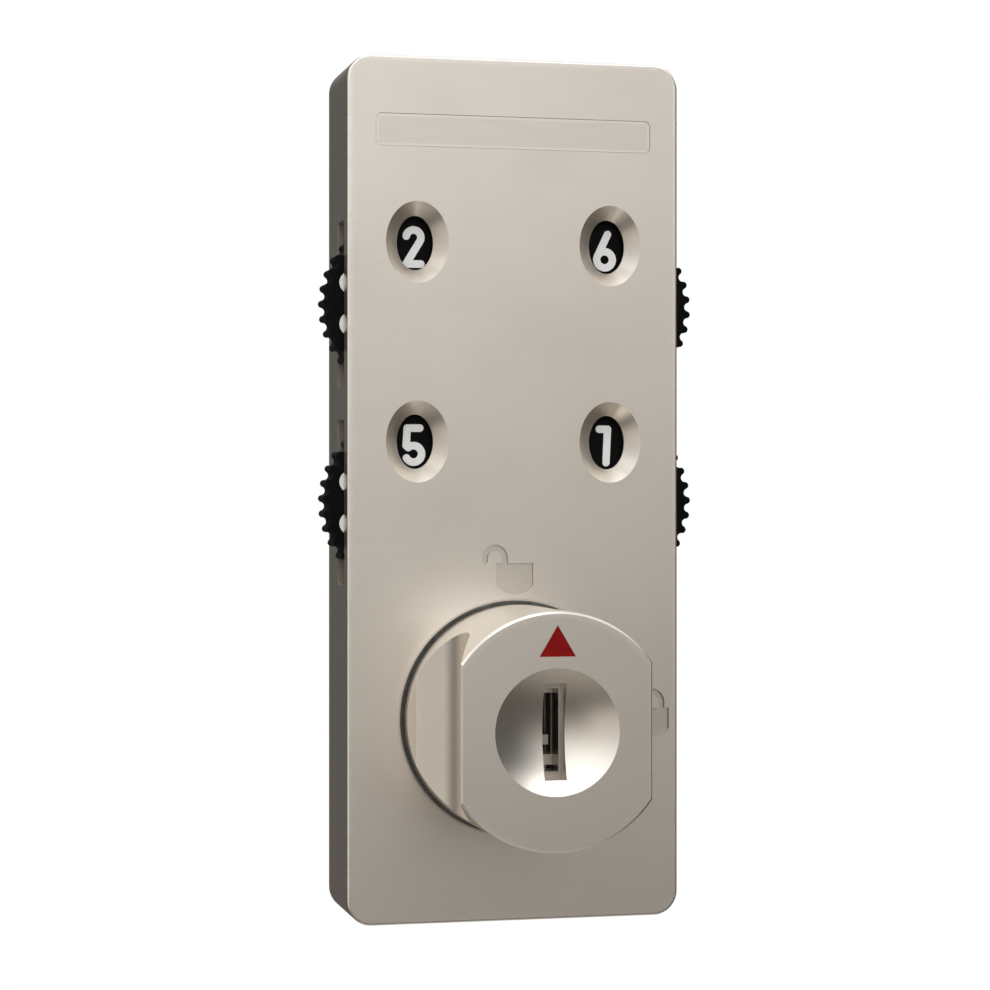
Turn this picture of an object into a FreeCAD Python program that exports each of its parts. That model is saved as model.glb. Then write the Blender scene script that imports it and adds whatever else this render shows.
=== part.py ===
import FreeCAD, Part
import math
import os

import Sketcher
from FreeCAD import Placement, Rotation, Vector

# Four-dial locker lock with a turning knob and an override key slot.
# Frame: origin on the knob's axis at the door face, +X to the right seen from the front,
# +Y into the door, +Z up. Millimetres.

SIZES = [
    # alias, value, what it is
    ("case_width", 47.3, "overall width of the case"),
    ("case_height", 120.0, "overall height of the case"),
    ("case_depth", 15.1, "door face to front face"),
    ("corner_radius", 3.4, "round at the four upright corners"),
    ("edge_round", 0.3, "round along the front edge"),
    ("front_wall", 2.2, "thickness of the front"),
    ("side_wall", 2.6, "thickness of the sides"),
    ("cavity_round", 1.0, "round in the corners of the cavity"),
    ("knob_height", 28.3, "lower end of the case to the knob's axis"),
    ("back_thickness", 2.0, "thickness of the back plate"),
    ("plate_gap", 0.1, "gap round the back plate"),
    ("wheel_radius", 12.7, "dial wheel over the teeth"),
    ("wheel_reach", 2.85, "how far a wheel stands out of the case's side"),
    ("wheel_thickness", 4.6, "thickness of a dial wheel"),
    ("wheel_setback", 3.0, "front face to the wheel's face"),
    ("lower_dial_height", 29.95, "knob's axis to the lower dials' axes"),
    ("dial_rise", 27.6, "lower to upper dials' axes"),
    ("tooth_count", 36, "teeth round a wheel"),
    ("tooth_depth", 0.85, "tip to root of a tooth"),
    ("tooth_round", 0.5, "round on a tooth's tip"),
    ("post_radius", 1.95, "the fixed post that a dial turns on"),
    ("post_play", 0.05, "radial clearance of a dial on its post"),
    ("post_seat", 0.8, "how deep a post sits in the front wall"),
    ("collar_radius", 3.2, "collar round a post behind the front wall"),
    ("collar_gap", 0.1, "collar to wheel"),
    ("window_rise", 8.45, "dial's axis to the middle of its window"),
    ("window_width", 8.9, "bevel's width at the front face"),
    ("window_height", 11.35, "bevel's height at the front face"),
    ("sight_width", 5.15, "opening's width at the bottom of the bevel"),
    ("sight_height", 7.55, "opening's height at the bottom of the bevel"),
    ("bevel_depth", 1.9, "depth of a window's bevel"),
    ("slot_setback", 2.6, "front face to the side slots"),
    ("slot_depth", 5.47, "side slot, front to back"),
    ("slot_length", 23.0, "side slot, bottom to top"),
    ("digit_height", 5.8, "height of a numeral"),
    ("digit_width", 3.15, "width of a numeral"),
    ("digit_stroke", 1.06, "width of a numeral's stroke"),
    ("digit_circle", 8.0, "dial's axis to the middle of a numeral"),
    ("digit_inlay", 0.5, "how deep a numeral sits in the wheel"),
    ("digit_proud", 0.15, "how far a numeral stands out of the wheel"),
    ("ring_radius", 6.9, "code ring's outer radius"),
    ("ring_hollow", 5.2, "code ring's inner radius"),
    ("ring_web", 0.9, "thickness of the code ring's web"),
    ("ring_depth", 2.9, "code ring behind its wheel"),
    ("boss_radius", 5.0, "corner radius of the ring's ten-sided boss"),
    ("boss_depth", 1.2, "how far that boss reaches into the wheel"),
    ("boss_play", 0.08, "clearance round that boss"),
    ("gate_width", 2.2, "width of the gate in the code ring"),
    ("nose_radius", 0.9, "nose of a detent spring"),
    ("nose_gap", 0.2, "clearance round a detent nose in its notch"),
    ("nose_circle", 7.4, "dial's axis to the middle of a detent nose"),
    ("leaf", 0.3, "thickness of a leaf spring"),
    ("leaf_width", 1.6, "width of a dial's leaf spring"),
    ("clip_radius", 2.7, "outer radius of a post's clip"),
    ("clip_thickness", 0.5, "thickness of a post's clip"),
    ("clip_groove", 1.5, "radius of the groove that a clip sits in"),
    ("clip_setback", 0.1, "code ring's end to the clip's far side"),
    ("slide_gap", 0.9, "back plate to the lock slide"),
    ("slide_thickness", 1.2, "thickness of the lock slide"),
    ("slide_play", 0.15, "lock slide to the case's sides"),
    ("slide_travel", 5.5, "travel of the lock slide"),
    ("slide_above", 10.45, "slide's top above the upper dials' axes"),
    ("slide_below", 4.05, "slide's lower rail below the lobe window"),
    ("pin_radius", 0.8, "fence pin"),
    ("pin_offset", 3.9, "dial's axis down to its fence pin, unlocked"),
    ("pin_gap", 0.3, "fence pin to the code ring's web"),
    ("lobe_radius", 9.5, "the knob's eccentric lobe"),
    ("lobe_gap", 0.2, "lobe to the slide's window, above and below"),
    ("lobe_margin", 0.4, "lobe beyond the slide, front and back"),
    ("knob_radius", 15.8, "knob's outer radius"),
    ("knob_gap", 0.5, "gap round the knob in the front face"),
    ("knob_reach", 23.9, "front face to the knob's front"),
    ("rim_height", 2.9, "thickness of the knob's round foot"),
    ("foot_half", 14.6, "half width of the grip at the foot"),
    ("grip_half", 13.0, "half width of the grip at the front"),
    ("corner_half", 8.3, "half width where the grip's slopes would meet"),
    ("corner_height", 11.19, "height over the face where they would meet"),
    ("waist_round", 9.6, "round of the grip's waist"),
    ("knob_chamfer", 0.3, "chamfer on the knob's edges"),
    ("dish_radius", 8.4, "dish in the knob's front"),
    ("dish_depth", 2.4, "depth of that dish"),
    ("key_slot_width", 3.0, "width of the key slot"),
    ("key_slot_height", 12.7, "height of the key slot"),
    ("pointer_top", 14.0, "knob's axis to the pointer's tip"),
    ("pointer_base", 9.9, "knob's axis to the pointer's base"),
    ("pointer_half", 2.46, "half width of the pointer's base"),
    ("mark_depth", 0.4, "depth of the sunk marks"),
    ("hub_gap", 0.2, "front wall to the hub's flange"),
    ("hub_radius", 17.6, "hub's flange, behind the front wall"),
    ("hub_thickness", 3.2, "thickness of that flange"),
    ("neck_radius", 11.0, "hub's neck"),
    ("lug_radius", 19.6, "tip of the hub's stop lug"),
    ("stop_inner", 18.2, "inner radius of the case's stops"),
    ("stop_outer", 20.5, "outer radius of the case's stops"),
    ("plug_radius", 7.0, "key plug"),
    ("plug_play", 0.05, "clearance round the key plug"),
    ("plug_cover", 1.6, "knob left in front of the key plug"),
    ("keyway_width", 2.2, "width of the keyway in the plug"),
    ("keyway_height", 11.0, "height of the keyway in the plug"),
    ("wafer_thickness", 1.0, "thickness of a wafer"),
    ("wafer_half", 2.9, "half width of a wafer"),
    ("wafer_pitch", 3.5, "pitch of the wafers along the plug"),
    ("wafer_first", 3.5, "plug's front to the first wafer's middle"),
    ("wafer_below", 0.03, "plug's surface to the top of a wafer, locked"),
    ("wafer_lift", 2.1, "plug's surface to the foot of a wafer, locked"),
    ("wafer_play", 0.1, "clearance round a wafer"),
    ("floor_wall", 0.7, "plug's surface to the floor of a wafer's slot"),
    ("spindle_radius", 4.0, "spindle"),
    ("spindle_square", 6.4, "across the flats of its square end"),
    ("bush_play", 0.05, "spindle to bush"),
    ("bush_radius", 6.0, "outer radius of the bush"),
    ("spigot_radius", 9.5, "round spigot that centres in the door's hole"),
    ("spigot_length", 3.0, "length of that spigot"),
    ("cam_setback", 21.0, "door face to the cam"),
    ("cam_thickness", 3.0, "thickness of the cam"),
    ("cam_half", 8.0, "half width of the cam"),
    ("cam_length", 32.0, "knob's axis to the middle of the cam's round end"),
    ("fixing_radius", 1.65, "tapping hole for an M4 door screw"),
    ("fixing_depth", 7.0, "depth of those holes"),
    ("fixing_upper", 79.5, "knob's axis to the upper door screw"),
    ("fixing_lower", 22.5, "knob's axis down to the lower door screw"),
    ("screw_radius", 1.4, "case screw, shank"),
    ("screw_head", 2.6, "case screw, head"),
    ("screw_head_depth", 1.2, "case screw, head height"),
    ("screw_length", 7.0, "case screw, under the head"),
    ("screw_inset", 4.4, "cavity wall to a case screw's axis"),
    ("screw_boss", 3.0, "boss round a case screw"),
    ("plate_half", 19.65, "half length of the blank name plate"),
    ("plate_low", 79.2, "lower edge of the name plate"),
    ("plate_high", 83.7, "upper edge of the name plate"),
    ("plate_round", 0.8, "round at the name plate's corners"),
    ("plate_depth", 0.5, "depth of the name plate's recess"),
    ("plate_play", 0.05, "gap round the name plate"),
    ("plate_below", 0.1, "front face to the name plate's face"),
    ("overlap", 0.5, "how far a rib or cutter runs into its neighbour"),
    ("screw_drop", 2.0, "upper case screws, further in than the lower ones"),
    ("stem_half", 3.0, "half width of the detent anchor's stem"),
    ("anchor_half", 4.0, "half height of the detent anchor"),
    ("anchor_gap", 0.4, "back of the wheels to the detent anchor's head"),
    ("stop_depth", 2.0, "depth of the case's two stops"),
    ("rib_place", 10.75, "knob's axis to the middle of a rib under its leaf spring"),
    ("rib_width", 2.5, "width of such a rib"),
    ("notch_depth", 0.4, "how deep the knob's detent nose sits in the hub"),
    ("leaf_half", 11.9, "half length of the knob's leaf spring"),
    ("leaf_setback", 0.6, "hub's front to the knob's leaf spring"),
    ("fixing_boss", 3.0, "radius of the bosses for the door screws"),
    ("boss_beyond", 1.0, "those bosses beyond their holes"),
    ("rear_seat", 1.2, "how deep a post sits in the back plate"),
    ("guide_inset", 2.6, "cavity wall to the middle of a slide guide"),
    ("guide_width", 3.0, "width of a slide guide"),
    ("guide_length", 7.0, "length of a slide guide"),
    ("guide_play", 0.1, "slide guide to the slide"),
    ("cross_width", 0.7, "width of the cross in a case screw"),
    ("cross_reach", 1.6, "half length of that cross"),
    ("boss_floor", 0.2, "clearance under the code ring's boss"),
    ("washer_play", 0.2, "post to the spring washer round it"),
    ("washer_gap", 0.1, "spring washer to the clip"),
    ("clip_mouth", 2.2, "width of the clip's mouth"),
    ("leaf_gap", 0.2, "code ring's web to its leaf spring"),
    ("leaf_beyond", 3.0, "a dial's leaf spring beyond its nose"),
    ("leaf_apart", 0.15, "half the gap between an upper and a lower leaf spring"),
    ("slot_play", 0.35, "post to the slot that it runs in"),
    ("lobe_end_play", 0.5, "lobe to the slide's window at each side"),
    ("opening_half", 4.0, "half width of the slide's long opening"),
    ("groove_play", 0.2, "wafers to the groove that locks them, each side"),
    ("groove_above", 0.9, "that groove above the wafers"),
    ("fill_below", 0.15, "knob's front to the pointer's filling"),
    ("grip_screw_place", 13.2, "knob's axis to the grip's screws"),
    ("grip_screw", 1.25, "grip screw, shank"),
    ("grip_screw_head", 2.1, "grip screw, head"),
    ("grip_screw_head_depth", 1.4, "grip screw, head height"),
    ("grip_screw_length", 7.5, "grip screw in the grip"),
    ("hub_cross_width", 0.6, "width of the cross in a grip screw"),
    ("hub_cross_reach", 1.2, "half length of that cross"),
    ("hub_cross_depth", 0.8, "depth of that cross"),
    ("lug_depth", 1.7, "depth of the hub's stop lug"),
    ("spindle_in_hub", 8.0, "how deep the spindle sits in the hub"),
    ("keyway_floor", 2.0, "plug left behind the keyway"),
    ("ward_height", 1.3, "height of the ward in the keyway"),
    ("ward_low", 1.9, "knob's axis down to that ward"),
    ("ward_width", 0.9, "width of that ward, with what sits in the plug"),
    ("ward_root", 0.1, "how far that ward sits in the plug"),
    ("ward_depth", 2.4, "depth of that ward"),
    ("window_foot", 1.4, "bottom of a wafer to its window"),
    ("window_head", 2.57, "top of a wafer to its window, before its step"),
    ("key_step", 0.3, "how much taller each wafer's window is than the last"),
    ("window_play", 0.1, "wafer's window beyond the keyway, each side"),
    ("coil_wire", 0.12, "radius of a wafer spring's wire"),
    ("coil_radius", 0.36, "radius of a wafer spring's coil"),
    ("coil_pitch", 0.37, "pitch of a wafer spring"),
    ("coil_gap", 0.15, "wafer spring to its seats"),
    ("cam_step", 0.2, "end of the spindle's square below the cam's far side"),
    ("thread_radius", 2.0, "cam screw, shank"),
    ("thread_depth", 10.0, "depth of its hole in the spindle"),
    ("cam_screw_length", 9.0, "cam screw under its head"),
    ("cam_screw_head", 4.2, "cam screw, head"),
    ("cam_screw_head_depth", 3.2, "cam screw, head height"),
    ("socket_radius", 2.3, "corner radius of the cam screw's socket"),
    ("socket_depth", 2.0, "depth of that socket"),
    ("washer_radius", 6.5, "cam washer, outer radius"),
    ("washer_thickness", 1.0, "thickness of the cam washer"),
]

doc = FreeCAD.newDocument("combination_lock")
dim = doc.addObject("Spreadsheet::Sheet", "dim")
for row, (alias, number, note) in enumerate(SIZES, 1):
    dim.set(f"A{row}", note)
    dim.set(f"B{row}", str(number))
    dim.setAlias(f"B{row}", alias)
doc.recompute()


def value(alias):
    return float(dim.get(alias))


# Planes across the lock, from the front backwards, as expressions on the sheet.
FACE = "-dim.case_depth"
WALL = f"({FACE} + dim.front_wall)"
WHEEL = f"({FACE} + dim.wheel_setback)"
RING = f"({WHEEL} + dim.wheel_thickness)"
RING_END = f"({RING} + dim.ring_depth)"
SLIDE_END = "(-dim.back_thickness - dim.slide_gap)"
SLIDE = f"({SLIDE_END} - dim.slide_thickness)"
HUB = f"({WALL} + dim.hub_gap)"
HUB_END = f"({HUB} + dim.hub_thickness)"
KNOB = f"({FACE} - dim.knob_reach)"
PLUG = f"({KNOB} + dim.dish_depth + dim.plug_cover)"
CLIP = f"({RING_END} - dim.clip_setback - dim.clip_thickness)"
CAVITY_HALF = "(dim.case_width / 2 - dim.side_wall)"
DIAL_X = "(dim.case_width / 2 + dim.wheel_reach - dim.wheel_radius)"
CASE_TOP = "(dim.case_height - dim.knob_height)"
# The lobe's middle is up and to the right of the axis by the same amount, half the travel.
LOBE_SHIFT = "(dim.slide_travel / 2)"
WAFER_TOP = "(dim.plug_radius - dim.wafer_below)"
WAFER_FOOT = "(dim.plug_radius - dim.wafer_lift)"
WAFER_FLOOR = "(dim.plug_radius - dim.floor_wall)"
ANCHOR_Z = "(dim.lower_dial_height + dim.dial_rise / 2)"

SIDES = {"left": -1, "right": 1}
ROW_SIGNS = {"upper": 1, "lower": -1}
ROWS = {"lower": "dim.lower_dial_height", "upper": "(dim.lower_dial_height + dim.dial_rise)"}
DIALS = [(f"{row}_{side}", row, side) for row in ROWS for side in SIDES]
SHOWN = {"upper_left": 2, "upper_right": 6, "lower_left": 5, "lower_right": 1}
# How far each wheel's nearest tooth lies past its outward side, in degrees anticlockwise.
TOOTH_PHASE = {"upper_left": -0.6, "upper_right": -3.8, "lower_left": -2.6, "lower_right": 1.4}
# Degrees anticlockwise from +X: the case's two stops and the hub's lug, and how wide they are.
STOPS = {"locked": 125, "unlocked": 235}
STOP_SPREAD = 8
LUG_ANGLE = 225
LUG_SPREAD = 10
DIGITS = 10
DIGIT_STEP = 360 / DIGITS
WAFERS = 4
# The padlock marks: half width of the lock's case and of a stroke, and where each mark stands.
MARK_HALF = 2.66
MARK_STROKE = 0.42
OPEN_MARK = ("0", "17.2")
CLOSED_MARK = ("19.75", "-3.4")

BACKWARDS = Rotation(Vector(1, 0, 0), -90)
FORWARDS = Rotation(Vector(1, 0, 0), 90)

nodes = {}


# ---------------------------------------------------------------- helpers


def bind(item, **sizes):
    for name, expression in sizes.items():
        item.setExpression(name, str(expression))
    return item


def put(item, x="0", y="0", z="0"):
    for axis, expression in (("x", x), ("y", y), ("z", z)):
        item.setExpression(f"Placement.Base.{axis}", str(expression))
    return item


def disc(name, radius, start, length, x="0", z="0"):
    """A cylinder along +Y that starts at y = start."""
    item = doc.addObject("Part::Cylinder", name)
    item.Placement = Placement(Vector(), BACKWARDS)
    return put(bind(item, Radius=radius, Height=length), x, start, z)


def sector(name, radius, start, length, middle, spread):
    """A slice of a cylinder along +Y round the knob's axis; degrees anticlockwise from +X."""
    item = doc.addObject("Part::Cylinder", name)
    item.Angle = spread
    turn = Rotation(Vector(0, 1, 0), -(middle + spread / 2))
    item.Placement = Placement(Vector(), turn * BACKWARDS)
    return put(bind(item, Radius=radius, Height=length), "0", start, "0")


def block(name, low, size):
    """A box from its lowest corner, both as expressions in X, Y and Z."""
    item = doc.addObject("Part::Box", name)
    bind(item, Length=size[0], Width=size[1], Height=size[2])
    return put(item, *low)


def fuse(name, items):
    item = doc.addObject("Part::MultiFuse", name)
    item.Shapes = items
    item.Refine = True
    return item


def cut(name, base, tools):
    item = doc.addObject("Part::Cut", name)
    item.Base = base
    item.Tool = tools[0] if len(tools) == 1 else fuse(name + "_tools", tools)
    item.Refine = True
    return item


def node(name, item):
    item.Label = name
    nodes[name] = item
    return item


def new_body(name):
    return doc.addObject("PartDesign::Body", name)


def new_sketch(body, role, offset="0"):
    """A sketch on one of the body's own origin planes, moved along that plane's normal."""
    sketch = body.newObject("Sketcher::SketchObject", body.Name + "_sketch")
    plane = next(f for f in body.Origin.OriginFeatures if f.Role == role)
    sketch.AttachmentSupport = (plane, [""])
    sketch.MapMode = "FlatFace"
    sketch.setExpression("AttachmentOffset.Base.z", str(offset))
    return sketch


def hold(sketch, kind, first, value_now, expression):
    """Pin a sketch point to the origin along one direction and bind the distance."""
    index = sketch.addConstraint(Sketcher.Constraint(kind, -1, 1, *first, value_now))
    sketch.setExpression(f"Constraints[{index}]", str(expression))


def number(expression):
    """What an expression on the sheet comes to, for a first drawing of a sketch."""
    probe.setExpression("Radius", f"({expression}) + 1000")
    probe.recompute()
    return float(probe.Radius) - 1000


def polygon(sketch, corners):
    """A closed outline with every corner bound to the sheet."""
    first = sketch.GeometryCount
    places = [(number(a), number(b)) for a, b in corners]
    count = len(corners)
    for i, (a, b) in enumerate(places):
        c, d = places[(i + 1) % count]
        sketch.addGeometry(Part.LineSegment(Vector(a, b, 0), Vector(c, d, 0)))
    for i, (a, b) in enumerate(corners):
        after = first + (i + 1) % count
        sketch.addConstraint(Sketcher.Constraint("Coincident", first + i, 2, after, 1))
        hold(sketch, "DistanceX", (first + i, 1), places[i][0], a)
        hold(sketch, "DistanceY", (first + i, 1), places[i][1], b)
    return sketch


def rectangle(sketch, left, right, low, high):
    return polygon(sketch, [(left, low), (right, low), (right, high), (left, high)])


def pad(body, sketch, length):
    """From the sketch towards the front (-Y) for a sketch on the XZ plane."""
    item = body.newObject("PartDesign::Pad", body.Name + "_pad")
    item.Profile = sketch
    return bind(item, Length=length)


def pocket(body, sketch, length="0", forwards=False, through=False):
    item = body.newObject("PartDesign::Pocket", body.Name + "_pocket")
    item.Profile = sketch
    item.Reversed = forwards
    if through:
        item.Type = "ThroughAll"
        item.Midplane = True
    else:
        bind(item, Length=length)
    doc.recompute()
    if item.Shape.Volume > item.BaseFeature.Shape.Volume - 0.01:
        raise ValueError(item.Name + " removes nothing")
    return item


def revolve(body, sketch):
    """Round the body's Y axis, for a sketch on the XY plane."""
    item = body.newObject("PartDesign::Revolution", body.Name + "_turned")
    item.Profile = sketch
    item.ReferenceAxis = (sketch, ["V_Axis"])
    item.Angle = 360
    return item


def dress(body, kind, size_name, size, wanted):
    """A fillet or chamfer on the edges of the body's last feature that wanted() picks."""
    doc.recompute()
    base = body.Tip
    picked = [f"Edge{i}" for i, edge in enumerate(base.Shape.Edges, 1) if wanted(edge)]
    item = body.newObject(f"PartDesign::{kind}", f"{body.Name}_{kind}".lower())
    item.Base = (base, picked)
    return bind(item, **{size_name: size})


def runs_along_y(edge):
    a, b = edge.Vertexes[0].Point, edge.Vertexes[-1].Point
    return abs(a.x - b.x) < 1e-4 and abs(a.z - b.z) < 1e-4 and abs(a.y - b.y) > 0.1


def at_y(edge, y):
    return all(abs(v.Point.y - y) < 1e-4 for v in edge.Vertexes)


def turned(name, profile, x="0", z="0"):
    """A piece turned about its own Y axis from (radius, y) corners, then put in its place."""
    body = new_body(name + "_body")
    revolve(body, polygon(new_sketch(body, "XY_Plane"), profile))
    return put(body, x, "0", z)


def capsule(start, end, half):
    """A straight stroke with round ends, as a flat face in the XY plane."""
    start, end = Vector(*start, 0), Vector(*end, 0)
    along = (end - start).normalize() * half
    side = Vector(-along.y, along.x, 0)
    edges = [
        Part.LineSegment(start - side, end - side),
        Part.Arc(end - side, end + along, end + side),
        Part.LineSegment(end + side, start + side),
        Part.Arc(start + side, start - along, start - side),
    ]
    return Part.Face(Part.Wire([e.toShape() for e in edges]))


def bow(centre, radius, low, high, half):
    """A curved stroke with round ends between two angles in degrees."""
    middle = Vector(*centre, 0)

    def at(distance, angle):
        turn = math.radians(angle)
        return middle + Vector(math.cos(turn), math.sin(turn), 0) * distance

    mean = (low + high) / 2
    edges = [
        Part.Arc(at(radius + half, low), at(radius + half, mean), at(radius + half, high)),
        Part.Arc(at(radius + half, high), at(radius, high) + (at(1, high + 90) - middle) * half,
                 at(radius - half, high)),
        Part.Arc(at(radius - half, high), at(radius - half, mean), at(radius - half, low)),
        Part.Arc(at(radius - half, low), at(radius, low) + (at(1, low - 90) - middle) * half,
                 at(radius + half, low)),
    ]
    return Part.Face(Part.Wire([e.toShape() for e in edges]))


def round_face(centre, radius):
    circle = Part.Circle(Vector(*centre, 0), Vector(0, 0, 1), radius)
    return Part.Face(Part.Wire(circle.toShape()))


def joined(faces):
    return faces[0].multiFuse(faces[1:]).removeSplitter() if len(faces) > 1 else faces[0]


def sunk(name, face, depth, x="0", z="0"):
    """A flat face in X and Z, made solid from the front face backwards by depth."""
    item = doc.addObject("Part::Feature", name + "_outline")
    item.Shape = face
    item.Placement = Placement(Vector(), FORWARDS)
    solid = doc.addObject("Part::Extrusion", name)
    solid.Base = item
    solid.DirMode = "Custom"
    solid.Dir = Vector(0, 1, 0)
    solid.Solid = True
    bind(solid, LengthFwd=depth)
    put(item, x, FACE, z)
    return solid


probe = doc.addObject("Part::Sphere", "probe")


# ---------------------------------------------------------------- case


def dial_place(row, side):
    return f"{SIDES[side]} * {DIAL_X}", ROWS[row]


def screw_places():
    upper = f"({CASE_TOP} - dim.side_wall - dim.screw_inset - dim.screw_drop)"
    lower = "(-dim.knob_height + dim.side_wall + dim.screw_inset)"
    for row, z in (("upper", upper), ("lower", lower)):
        for side, sign in SIDES.items():
            yield f"{row}_{side}", f"{sign} * ({CAVITY_HALF} - dim.screw_inset)", z


def window(name, x, z):
    """The bevelled oval: outer oval at the face, inner oval at the foot and through."""
    ovals = []
    planes = (
        ("window", FACE),
        ("sight", f"{FACE} + dim.bevel_depth"),
        ("sight", WALL),
    )
    for i, (kind, y) in enumerate(planes):
        oval = doc.addObject("Part::Ellipse", f"{name}_oval{i}")
        oval.Placement = Placement(
            Vector(), Rotation(Vector(0, 0, 1), Vector(1, 0, 0), Vector(0, 1, 0))
        )
        bind(oval, MajorRadius=f"dim.{kind}_height / 2", MinorRadius=f"dim.{kind}_width / 2")
        ovals.append(put(oval, x, y, z))
    loft = doc.addObject("Part::Loft", name)
    loft.Sections = ovals
    loft.Solid = True
    loft.Ruled = True
    return loft


def padlock_marks():
    """An open padlock over the knob and a closed one on its right, both sunk in the face."""

    def padlock(top, straight, shackle, spread, foot, loose_foot):
        """A case with a bowed bottom, and a shackle with one foot in it and one in or out."""
        corners = [(-MARK_HALF, straight), (-MARK_HALF, top), (MARK_HALF, top), (MARK_HALF, straight)]
        points = [Vector(across, up, 0) for across, up in corners]
        edges = [Part.LineSegment(a, b) for a, b in zip(points, points[1:])]
        edges.append(Part.Arc(points[-1], Vector(), points[0]))
        left, right = shackle[0] - spread, shackle[0] + spread
        return joined([
            Part.Face(Part.Wire([e.toShape() for e in edges])),
            bow(shackle, spread, 0, 180, MARK_STROKE),
            capsule((right, foot), (right, shackle[1]), MARK_STROKE),
            capsule((left, loose_foot), (left, shackle[1]), MARK_STROKE),
        ])

    opened = padlock(4.3, 1.2, (-2.83, 5.02), 1.44, 3.9, 4.6)
    closed = padlock(4.35, 1.4, (0, 5.1), 1.6, 4.0, 4.0)
    yield sunk("open_padlock", opened, "dim.mark_depth", *OPEN_MARK)
    yield sunk("closed_padlock", closed, "dim.mark_depth", *CLOSED_MARK)


def plate_outline(margin):
    """The name plate: a long plate with rounded corners, margin smaller all round."""
    half = value("plate_half") - margin
    low, high = value("plate_low") + margin, value("plate_high") - margin
    solid = Part.makeBox(2 * half, high - low, 1, Vector(-half, low, 0))
    upright = [e for e in solid.Edges if abs(e.Vertexes[0].Z - e.Vertexes[-1].Z) > 0.5]
    solid = solid.makeFillet(value("plate_round") - margin, upright)
    return next(f for f in solid.Faces if abs(f.CenterOfMass.z) < 1e-6)


def front_case():
    body = new_body("shell")
    half, low = "dim.case_width / 2", "-dim.knob_height"
    outline = rectangle(new_sketch(body, "XZ_Plane"), f"-{half}", half, low, CASE_TOP)
    pad(body, outline, "dim.case_depth")
    dress(body, "Fillet", "Radius", "dim.corner_radius", runs_along_y)
    face = -value("case_depth")
    dress(body, "Fillet", "Radius", "dim.edge_round", lambda e: at_y(e, face))
    inside = rectangle(
        new_sketch(body, "XZ_Plane"),
        f"-{CAVITY_HALF}",
        CAVITY_HALF,
        "-dim.knob_height + dim.side_wall",
        f"{CASE_TOP} - dim.side_wall",
    )
    pocket(body, inside, "dim.case_depth - dim.front_wall", forwards=True)
    wall = -value("case_depth") + value("front_wall")
    inner_x = value("case_width") / 2 - value("side_wall")

    def cavity_corner(edge):
        a, b = edge.Vertexes[0].Point, edge.Vertexes[-1].Point
        inward = abs(abs(a.x) - inner_x) < 1e-3
        return runs_along_y(edge) and inward and abs(min(a.y, b.y) - wall) < 1e-3

    dress(body, "Fillet", "Radius", "dim.cavity_round", cavity_corner)

    solids, tools = [body], []
    for name, x, z in screw_places():
        length = f"-dim.back_thickness - {WALL}"
        solids.append(disc(f"boss_{name}", "dim.screw_boss", WALL, length, x, z))
        hole = f"-dim.screw_head_depth - dim.screw_length"
        tools.append(disc(f"boss_hole_{name}", "dim.screw_radius", hole, "dim.screw_length", x, z))
    for name, row, side in DIALS:
        x, z = dial_place(row, side)
        length = "dim.wheel_setback - dim.front_wall - dim.collar_gap"
        solids.append(disc(f"collar_{name}", "dim.collar_radius", WALL, length, x, z))
        seat = f"{WALL} - dim.post_seat"
        length = "dim.post_seat + dim.wheel_setback"
        tools.append(disc(f"seat_{name}", "dim.post_radius", seat, length, x, z))
        tools.append(window(f"window_{name}", x, f"{z} + dim.window_rise"))
        wide = "dim.side_wall + dim.cavity_round"
        left = f"-{CAVITY_HALF} - dim.side_wall - dim.overlap"
        right = f"{CAVITY_HALF} - dim.cavity_round + dim.overlap"
        start = left if side == "left" else right
        low = (start, f"{FACE} + dim.slot_setback", f"{z} - dim.slot_length / 2")
        tools.append(block(f"slot_{name}", low, (wide, "dim.slot_depth", "dim.slot_length")))

    # The post between the four dials that carries their detent springs.
    low = ("-dim.stem_half", WALL, f"{ANCHOR_Z} - dim.anchor_half")
    anchor_end = f"({RING_END} - dim.washer_gap)"
    size = ("2 * dim.stem_half", f"{anchor_end} - {WALL}", "2 * dim.anchor_half")
    solids.append(block("detent_stem", low, size))
    head = f"({RING} + dim.anchor_gap)"
    low = (f"-{detent_wall()}", head, f"{ANCHOR_Z} - dim.anchor_half")
    size = (f"2 * {detent_wall()}", f"{anchor_end} - {head}", "2 * dim.anchor_half")
    solids.append(block("detent_anchor", low, size))
    # Two ribs that carry the knob's detent spring, and the two stops of its turn.
    for side, sign in SIDES.items():
        foot = "(-dim.knob_height + dim.side_wall - dim.overlap)"
        low = (f"{sign} * dim.rib_place - dim.rib_width / 2", WALL, foot)
        size = ("dim.rib_width", "dim.hub_thickness", f"{knob_leaf_low()} - {foot}")
        solids.append(block(f"knob_rib_{side}", low, size))
    for name, angle in STOPS.items():
        deep = "dim.stop_depth"
        outer_part = sector(f"stop_{name}", "dim.stop_outer", WALL, deep, angle, STOP_SPREAD)
        inner_part = disc(f"stop_{name}_inside", "dim.stop_inner", WALL, deep)
        solids.append(cut(f"stop_{name}_rib", outer_part, [inner_part]))

    tools.append(disc("knob_hole", "dim.knob_radius + dim.knob_gap", FACE, "dim.front_wall"))
    tools.extend(padlock_marks())
    tools.append(sunk("plate_recess", plate_outline(0), "dim.plate_depth"))
    return node("front_case", cut("front_case", fuse("case_solids", solids), tools))


def detent_wall():
    """Half width of the detent anchor: the leaves lie on it, level with the noses' middles."""
    return f"({DIAL_X} - dim.nose_circle - dim.leaf)"


def name_plate():
    outline = plate_outline(value("plate_play"))
    plate = sunk("plate_solid", outline, "dim.plate_depth - dim.plate_below")
    put(plate.Base, "0", f"{FACE} + dim.plate_below", "0")
    return node("name_plate", plate)


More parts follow.
